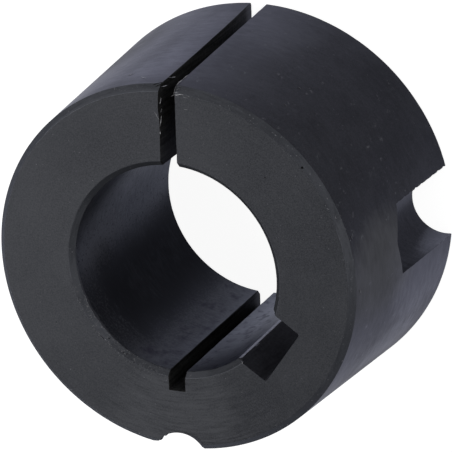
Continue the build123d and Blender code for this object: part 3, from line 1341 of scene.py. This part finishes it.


# The look of each surface. A patch's first four numbers are its direction, its level, and half
# its extent along each. The patches and the rise towards a lit side are painted light and shade.
FINISHES: dict[Finish, Iron] = {
    Finish.TAPER: Iron(
        dark=(0.0102, 0.0103, 0.0103), pale=(0.0245, 0.0248, 0.0262),
        # Painted light: the share rises towards the lit side at 90 degrees, and the patches paint the
        # taper's sheen and shade, one with a neutral painted reflection colour.
        patina_and_painted_light=PatinaAndPaintedLight(
            mean=0.52, swing=0.14, towards=90.0, mottle=0.34, cloud=0.4, ragged=0.45,
            patches=(
                PaintedLightPatch(-8.0, 5.0, 24.0, 10.0, share=0.26, tone=0.2),
                PaintedLightPatch(1.0, 15.5, 19.0, 9.0, share=-0.15, painted_tint=(0.051, 0.0517, 0.0522)),
                PaintedLightPatch(-14.0, 17.0, 16.0, 9.0, share=-0.05, tone=0.5),
                PaintedLightPatch(17.0, 9.0, 6.0, 4.5, tone=0.3),
                PaintedLightPatch(-4.5, 21.6, 8.0, 2.4, share=-0.07, tone=-0.08),
                PaintedLightPatch(290.0, 22.0, 22.0, 5.0, share=-0.4),
                PaintedLightPatch(-33.0, 9.0, 9.0, 8.0, share=0.12, tone=0.15),
                PaintedLightPatch(96.0, 10.0, 8.0, 9.0, share=0.14, tone=0.1),
                PaintedLightPatch(106.0, 21.5, 24.0, 2.5, share=-0.16),
                PaintedLightPatch(98.0, 18.0, 10.0, 9.0, share=0.2, tone=0.2),
                PaintedLightPatch(78.0, 3.0, 16.0, 9.0, share=0.15, tone=0.2),
                PaintedLightPatch(124.0, 6.0, 14.0, 9.0, share=-0.2),
                PaintedLightPatch(38.0, 10.0, 33.0, 30.0, tone=-0.35),
            ),
        ),
        rough=0.34, lay=Lay.ROUND_THE_AXIS, mark_pitch=0.45, mark_length=1.3, mark_height=0.001,
        mark_tone=0.4, strong_at=110.0, grain=0.17, grain_tone=1.7,
        specks=(
            Specks(share=0.36, size=0.75, soft=0.15, colour=(0.050, 0.051, 0.053), metal=0.6),
            Specks(share=0.37, size=1.9, soft=0.25, colour=(0.028, 0.029, 0.031), metal=0.6, shift=31.0),
        ),
        specular=0.0, edge_tint=(0.83, 0.845, 1.0),
    ),
    Finish.FACE: Iron(
        dark=(0.0163, 0.0172, 0.0201), pale=(0.0427, 0.044, 0.0490),
        # Painted light: the tone rises towards the lit side at 165 degrees, and the patches paint lighter
        # and darker stretches.
        patina_and_painted_light=PatinaAndPaintedLight(
            mean=0.75, towards=165.0, tone=0.14,
            patches=(
                PaintedLightPatch(122.0, 14.0, 30.0, 5.0, tone=-0.13),
                PaintedLightPatch(268.0, 15.0, 28.0, 7.0, tone=0.34),
            ),
        ),
        rough=0.55, lay=Lay.ROUND_THE_FACE, mark_pitch=0.22, mark_length=2.5, mark_tone=0.5,
        strong_at=275.0, strong_by=2.2, grain=0.13, grain_tone=1.7, grain_height=0.007,
        specks=(
            Specks(share=0.30, size=0.2, soft=0.08, colour=(0.10, 0.10, 0.11)),
            Specks(share=0.28, size=0.35, soft=0.06, colour=(0.008, 0.008, 0.009), metal=0.4, shift=19.0),
        ),
        edge_tint=(0.7, 0.72, 0.76),
    ),
    Finish.CHAMFER: Iron(
        dark=(0.0318, 0.0334, 0.0388), pale=(0.0625, 0.0652, 0.0744),
        # Painted light: the patches paint the chamfers' lighter and darker stretches and a thin highlight
        # along the small end's outer edge.
        patina_and_painted_light=PatinaAndPaintedLight(
            mean=0.7,
            patches=(
                PaintedLightPatch(118.0, 10.3, 40.0, 1.5, share=-0.1, tone=-0.8),
                PaintedLightPatch(205.0, 10.3, 34.0, 1.5, share=-0.15, tone=0.2),
                PaintedLightPatch(278.0, 10.3, 11.0, 1.5, share=0.05, tone=0.85),
                PaintedLightPatch(190.0, 10.3, 13.0, 1.5, tone=0.32),
                PaintedLightPatch(238.0, 10.3, 11.0, 1.5, tone=-0.22),
                PaintedLightPatch(113.0, 17.15, 30.0, 0.15, share=0.4, tone=1.3),
                PaintedLightPatch(16.0, 17.4, 13.0, 1.5, share=0.05, tone=0.5),
                PaintedLightPatch(47.0, 17.4, 17.0, 1.5, tone=-0.3),
                PaintedLightPatch(320.0, 17.4, 42.0, 1.5, tone=-0.45),
                PaintedLightPatch(90.0, 17.4, 30.0, 1.5, tone=0.25),
                PaintedLightPatch(236.0, 17.4, 66.0, 1.5, share=-0.45, tone=-0.1),
            ),
        ),
        rough=0.45, lay=Lay.ROUND_THE_FACE, mark_pitch=0.2, mark_length=1.2,
        specks=(
            Specks(share=0.36, size=0.26, soft=0.1, colour=(0.12, 0.12, 0.13)),
            Specks(
                share=0.42, size=0.2, soft=0.1, colour=(0.11, 0.11, 0.115), shift=3.0, at=226.0, wide=42.0,
            ),
            Specks(
                share=0.38, size=0.3, soft=0.1, colour=(0.010, 0.010, 0.011), shift=41.0, at=246.0,
                wide=26.0,
            ),
        ),
        specular=0.0, edge_tint=(0.7, 0.72, 0.80),
    ),
    Finish.BORE: Iron(
        dark=(0.0066, 0.0067, 0.0075), pale=(0.0305, 0.0305, 0.0340),
        # Painted light: the share rises towards 300 degrees, and the patches paint the bore's shade, dark
        # in the middle, and its lighter stretches near the mouth.
        patina_and_painted_light=PatinaAndPaintedLight(
            mean=0.70, swing=0.14, towards=300.0, mottle=0.4, cloud=0.4,
            patches=(
                PaintedLightPatch(215.5, 11.0, 38.0, 40.0, share=-0.49, tone=-0.9),
                PaintedLightPatch(176.0, 21.8, 26.0, 1.4, share=-0.06, tone=-0.1),
                PaintedLightPatch(148.0, 21.2, 26.0, 1.6, tone=0.45),
                PaintedLightPatch(206.0, 21.95, 38.0, 0.72, share=0.2, tone=2.4),
                PaintedLightPatch(300.0, 8.0, 12.0, 10.0, share=-0.22),
                PaintedLightPatch(158.0, 13.0, 34.0, 16.0, share=-0.14, tone=-0.1),
                PaintedLightPatch(173.0, 16.0, 28.0, 6.0, share=-0.1, tone=0.5),
                PaintedLightPatch(214.0, 20.5, 44.0, 4.0, share=0.07, tone=0.5),
                PaintedLightPatch(256.0, 9.0, 9.0, 11.0, share=-0.1),
                PaintedLightPatch(280.0, 5.0, 14.0, 8.0, share=0.12, tone=0.2),
                PaintedLightPatch(288.0, 15.5, 18.0, 5.0, share=-0.14),
                PaintedLightPatch(118.0, 12.0, 16.0, 9.0, share=0.1, tone=0.4),
            ),
        ),
        rough=0.34, lay=Lay.ROUND_THE_AXIS, mark_pitch=0.3, mark_length=1.1, mark_height=0.002, grain=0.2,
        grain_tone=2.0, grain_height=0.003,
        specks=(
            Specks(
                share=0.365, size=0.3, soft=0.06, colour=(0.004, 0.004, 0.005), metal=0.2, shift=23.0,
                at=148.0, wide=55.0,
            ),
            Specks(
                share=0.48, size=0.3, soft=0.3, colour=(0.010, 0.010, 0.010), metal=0.3, shift=5.0,
                at=152.0, wide=46.0,
            ),
            Specks(
                share=0.52, size=1.1, soft=0.3, colour=(0.016, 0.014, 0.022), metal=0.38, shift=13.0,
                at=278.0, wide=42.0,
            ),
        ),
        specular=0.0, edge_tint=(0.83, 0.86, 1.0),
    ),
    Finish.SAWN: Iron(
        dark=(0.0075, 0.0078, 0.0075), pale=(0.036, 0.036, 0.036),
        # Painted light: the two patches light the split and the relief slot near the large end, where light
        # comes in from below.
        patina_and_painted_light=PatinaAndPaintedLight(
            mean=0.3,
            patches=(
                PaintedLightPatch(92.5, 0.0, 2.2, 1.8, share=0.45, tone=0.6),
                PaintedLightPatch(270.0, 0.0, 10.0, 1.8, share=0.3, tone=0.8),
            ),
        ),
        rough=0.6, lay=Lay.ALONG_Z, mark_pitch=0.3, mark_tone=2.4, grain=0.3, grain_tone=1.4, specular=0.0,
    ),
    Finish.BROACHED: Iron(
        dark=(0.0120, 0.0123, 0.0150), pale=(0.034, 0.0350, 0.0415), patina_and_painted_light=PatinaAndPaintedLight(mean=0.42), rough=0.5,
        lay=Lay.ALONG_Z, mark_pitch=0.3, mark_length=1.6, mark_tone=1.7, grain=0.35, grain_tone=1.5,
        specular=0.0, edge_tint=(0.9, 0.9, 1.0),
    ),
    Finish.DRILLED: Iron(
        dark=(0.0075, 0.0078, 0.0096), pale=(0.030, 0.0308, 0.0370),
        # Painted light: the patches paint a lilac sheen on each pocket's lower wall and a light wedge on
        # its upper wall.
        patina_and_painted_light=PatinaAndPaintedLight(
            mean=0.42,
            patches=(
                PaintedLightPatch(-7.0, 0.0, 2.4, 8.5, share=0.6, tone=1.2),
                PaintedLightPatch(7.6, 2.5, 4.6, 6.0, share=0.12, tone=0.6),
                PaintedLightPatch(173.0, 0.0, 2.4, 8.5, share=0.6, tone=1.2),
                PaintedLightPatch(187.6, 2.5, 4.6, 6.0, share=0.12, tone=0.6),
            ),
        ),
        rough=0.4, specular=0.0, edge_tint=(0.84, 0.86, 1.0),
    ),
    Finish.TAPPED: Iron(
        dark=(0.016, 0.016, 0.019), pale=(0.040, 0.040, 0.046), patina_and_painted_light=PatinaAndPaintedLight(mean=0.6), rough=0.42,
    ),
    Finish.BARE: Iron(
        dark=(0.03, 0.03, 0.034), pale=(0.18, 0.18, 0.195), patina_and_painted_light=PatinaAndPaintedLight(mean=0.9), rough=0.4, grain=0.35,
        grain_tone=2.0,
    ),
}

# Fresh lips of iron, and old knocks.
BRIGHT_BURR = Iron(
    dark=(0.06, 0.06, 0.065), pale=(0.30, 0.30, 0.31), patina_and_painted_light=PatinaAndPaintedLight(mean=0.85), rough=0.45, grain=0.22,
    grain_tone=1.6,
)
DULL_BURR = Iron(
    dark=(0.04, 0.04, 0.043), pale=(0.13, 0.13, 0.137), patina_and_painted_light=PatinaAndPaintedLight(mean=0.7), rough=0.5, grain=0.22,
    grain_tone=1.6,
)


# ---------------------------------------------------------------- the bush and its studio


@dataclass
class TaperBush:
    """The whole bush: the sleeve with each cut taken out of it.

    Args:
        section: Section of the sleeve.
        name: Name of the piece.
    """

    section: Section
    name: str = "bush_iron"

    def cuts(self) -> list[Cut]:
        """The tools' paths, as measured on the part."""
        section = self.section
        return [
            Slot(
                section, -34.2, Finish.BROACHED, mouth_break=0.15, mouth_bare=1.1, edge_bare=0.05, left=3.0,
                right=3.0, floor=12.8, root_radius=0.25, seed=2,
            ),
            Slot(
                section, 90.0, Finish.SAWN, edge_bare=0.12, mouth_bare=0.0, left=0.79, right=0.78,
                drift=0.09, pinch=0.12, belly=0.12, mark_depth=0.02, mark_pitch=0.35, mark_lean=3.0, seed=3,
            ),
            Slot(
                section, 270.0, Finish.SAWN, edge_bare=0.0, mouth_bare=0.0, left=0.8, right=0.8, floor=11.8,
                root_radius=0.06, bow=0.08, mark_depth=0.02, seed=4,
            ),
            Pocket(section, 4.6, Finish.DRILLED, edge_break=0.03, edge_bare=0.15, seed=5),
            Pocket(section, 184.6, Finish.DRILLED, edge_break=0.03, edge_bare=0.15, seed=8),
            JackThread(section, 270.0, Finish.TAPPED),
        ]

    def scratches(self) -> list[Sliver]:
        """Paths of the scratches and the torn edge at the split's corner, and of the face's pits."""
        marks = [
            Sliver((-1.55, 17.45, -0.43), (-0.46, 17.73, -0.92), (0.0, 0.10, 0.10), 0.19),
            Sliver((-1.22, 17.37, -0.32), (-0.46, 17.68, -0.62), (0.0, 0.09, 0.09), 0.16),
            Sliver((-0.69, 17.70, -0.02), (-0.72, 13.55, -0.02), (-0.14, 0.0, 0.0), 10.0),
            Sliver((12.78, 11.27, -0.07), (13.04, 11.27, -0.1), (0.0, 0.15, 0.0), 0.28),
            Sliver((9.28, 9.99, 0.0), (9.44, 9.99, 0.0), (0.0, 0.1, 0.0), 0.1),
        ]
        return [mark.moved((0.0, 0.0, self.section.length)) for mark in marks]

    def build(self) -> bpy.types.Object:
        """Cuts the sleeve with the tools and bakes the result into one mesh.

        The tools cut together. Each scratch then cuts by itself, because it crosses others.

        Returns:
            The finished object, at the origin.
        """
        materials = [FINISHES[finish].material("iron_" + finish.name.lower()) for finish in Finish]
        tools = Draft()
        for cut in self.cuts():
            tools.add(cut.draft())
        scratches = [mark.draft(number, Finish.SAWN) for number, mark in enumerate(self.scratches())]
        body = Sleeve(self.section).draft().build(self.name, materials)
        cutters = [path.build("tools", materials) for path in (tools, *scratches)]
        for cutter in cutters:
            boolean = body.modifiers.new("cut", "BOOLEAN")
            boolean.operation = "DIFFERENCE"
            boolean.solver = "MANIFOLD"
            boolean.object = cutter
        self.bake(body)
        for cutter in cutters:
            bpy.data.objects.remove(cutter)
        finish_mesh(body, sharp=28.0, merge=0.002)
        return body

    @staticmethod
    def bake(body: bpy.types.Object) -> None:
        """Replaces the mesh with what its modifiers make of it."""
        graph = bpy.context.evaluated_depsgraph_get()
        made = bpy.data.meshes.new_from_object(body.evaluated_get(graph))
        old = body.data
        body.modifiers.clear()
        body.data = made
        made.name = old.name
        bpy.data.meshes.remove(old)


@dataclass
class Studio:
    """A white floor under soft lamps, and the camera. Its sizes are in metres.

    Args:
        camera_place: Place of the camera.
        camera_right: Direction of its right side.
        camera_up: Direction of its top.
        lens: Focal length of its lens, in millimetres.
        aim: The point that the lamps face.
        ring_radii: Radii of the floor's rings of points.
        floor_gap: Gap between the floor and the bush.
        floor_tone: Tone of the floor to light that isn't seen.
        floor_glow: Strength of the floor's white where it is seen.
        plain_light: Strength of the light from all round on surfaces.
    """

    camera_place: Point = (0.1192861, 0.1086523, 0.2836291)
    camera_right: Point = (0.920651, -0.029535, -0.389268)
    camera_up: Point = (-0.107546, 0.939361, -0.325629)
    lens: float = 268.6
    aim: Point = (0.0, 0.0, 0.01)
    ring_radii: tuple[float, ...] = (0.05, 0.2, 0.6, 1.5, 3.0)
    floor_gap: float = 0.00004
    floor_tone: float = 0.3
    floor_glow: float = 0.92
    plain_light: float = 0.55

    def floor(self) -> None:
        """A round white floor just clear of the bush: rings of points out from the middle."""
        rings = np.array(self.ring_radii)[::-1, None]
        turns = np.linspace(0.0, 2 * math.pi, 96, endpoint=False)
        level = np.full((len(rings), len(turns)), -self.floor_gap)
        made = Draft()
        index = made.grid(np.stack([rings * np.cos(turns), rings * np.sin(turns), level], axis=-1) / MM, 0)
        made.lid(index[-1], 0)
        floor = made.build("floor", [self.floor_material()])

    def floor_material(self) -> bpy.types.Material:
        """White to the camera and in reflections, and plain pale to other light."""
        book = NodeBook(bpy.data.materials.new("floor_white"))
        pale = book.node("ShaderNodeBsdfDiffuse", sockets={"Color": (*[self.floor_tone] * 3, 1.0)})
        glow = book.node("ShaderNodeEmission", sockets={"Strength": book.white_seen() * self.floor_glow})
        both = book.node("ShaderNodeAddShader", sockets={0: pale, 1: glow})
        book.node("ShaderNodeOutputMaterial", sockets={"Surface": both})
        return book.owner

    def world(self) -> None:
        """White to the camera and in reflections, and a plain level of light on surfaces."""
        book = NodeBook(bpy.data.worlds.new("studio"))
        level = self.plain_light + (1.0 - self.plain_light) * book.white_seen()
        white = book.node("ShaderNodeBackground", sockets={"Strength": level})
        book.node("ShaderNodeOutputWorld", sockets={"Surface": white})
        bpy.context.scene.world = book.owner

    def lamp(self, name: str, place: Point, power: float, size: float) -> None:
        """A soft square lamp that faces the bush.

        Args:
            name: The lamp's name.
            place: Its middle.
            power: Its power, in watts.
            size: Its width and its height.
        """
        light = bpy.data.lights.new(name, "AREA")
        light.size = size
        light.energy = power
        lamp = bpy.data.objects.new(name, light)
        lamp.location = place
        lamp.rotation_euler = (Vector(self.aim) - Vector(place)).to_track_quat("-Z", "Y").to_euler()
        bpy.context.scene.collection.objects.link(lamp)

    def camera(self) -> None:
        """The camera, from its place and two of its axes."""
        right, up = Vector(self.camera_right), Vector(self.camera_up)
        turn = Matrix((right, up, right.cross(up).normalized())).transposed().to_4x4()
        lens = bpy.data.cameras.new("camera")
        lens.lens = self.lens
        lens.clip_start = 0.01
        lens.clip_end = 20.0
        camera = bpy.data.objects.new("camera", lens)
        camera.matrix_world = Matrix.Translation(Vector(self.camera_place)) @ turn
        bpy.context.scene.collection.objects.link(camera)
        bpy.context.scene.camera = camera

    def build(self) -> None:
        """Sets the view, the floor, the world, two lamps across from each other, and the camera."""
        bpy.context.scene.view_settings.view_transform = "Standard"
        self.floor()
        self.world()
        self.lamp("key", (-0.17, -0.05, 0.30), 0.5, 0.16)
        self.lamp("fill", (0.6, 0.5, 0.5), 1.0, 0.6)
        self.camera()


def main() -> None:
    """Builds the bush on its CAD frame, then the studio."""
    logging.basicConfig(level=logging.INFO, format="%(message)s", stream=sys.stdout)
    low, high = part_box("bush")
    bore = next(mount for mount in frame["record"]["mounts"] if mount["name"] == "bore")
    section = Section(length=(high[2] - low[2]) / MM, bore=bore["dims"]["r_mm"], large_end=19.2)
    LOG.info("section %s", section)
    bush = TaperBush(section).build()
    burrs = EdgeBurrs(section).build(BRIGHT_BURR.material("burr_bright"), DULL_BURR.material("burr_dull"))
    for piece in (bush, burrs):
        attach(piece, "root")
        LOG.info("%s rides on root", piece.name)
    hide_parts("bush")
    Studio().build()


if __name__ == "__main__":
    main()
